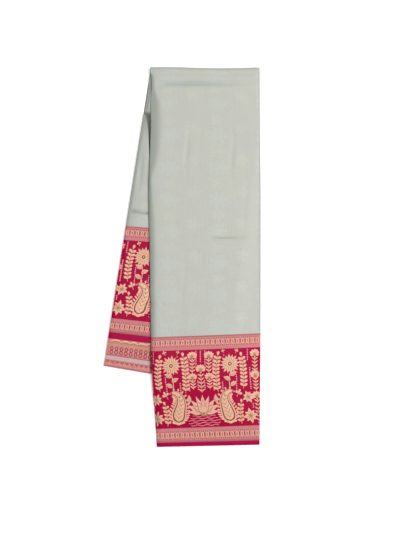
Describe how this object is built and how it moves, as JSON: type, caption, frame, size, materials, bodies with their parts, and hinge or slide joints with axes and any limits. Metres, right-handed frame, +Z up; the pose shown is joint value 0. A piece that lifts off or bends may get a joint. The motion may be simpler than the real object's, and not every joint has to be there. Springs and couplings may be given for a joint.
{
  "type": "folded saree",
  "caption": "Silk saree folded into a band and laid over once: long front drop with a wide contrast border on a shorter back drop fanned to one side, lying flat",
  "frame": {"origin": "middle of the footprint, on the surface the saree lies on", "axes": "+Z up off the surface, through the cloth; +Y towards the top fold; +X to the right of the front drop, away from the fanned-out back drop"},
  "size_m": [0.2834, 0.685, 0.0233],
  "materials": {
    "field_silk": "soft sheen",
    "border_silk": "satin",
    "hem_silk": "soft sheen",
    "inner_silk": "soft sheen"
  },
  "bodies": {
    "root": {"top_fold": "field_silk", "front_field": "field_silk", "front_border": "border_silk", "back_field": "field_silk", "back_border": "border_silk", "second_border": "hem_silk", "under_field": "field_silk", "under_border": "border_silk", "hidden_layers": "inner_silk"}
  },
  "joints": []
}
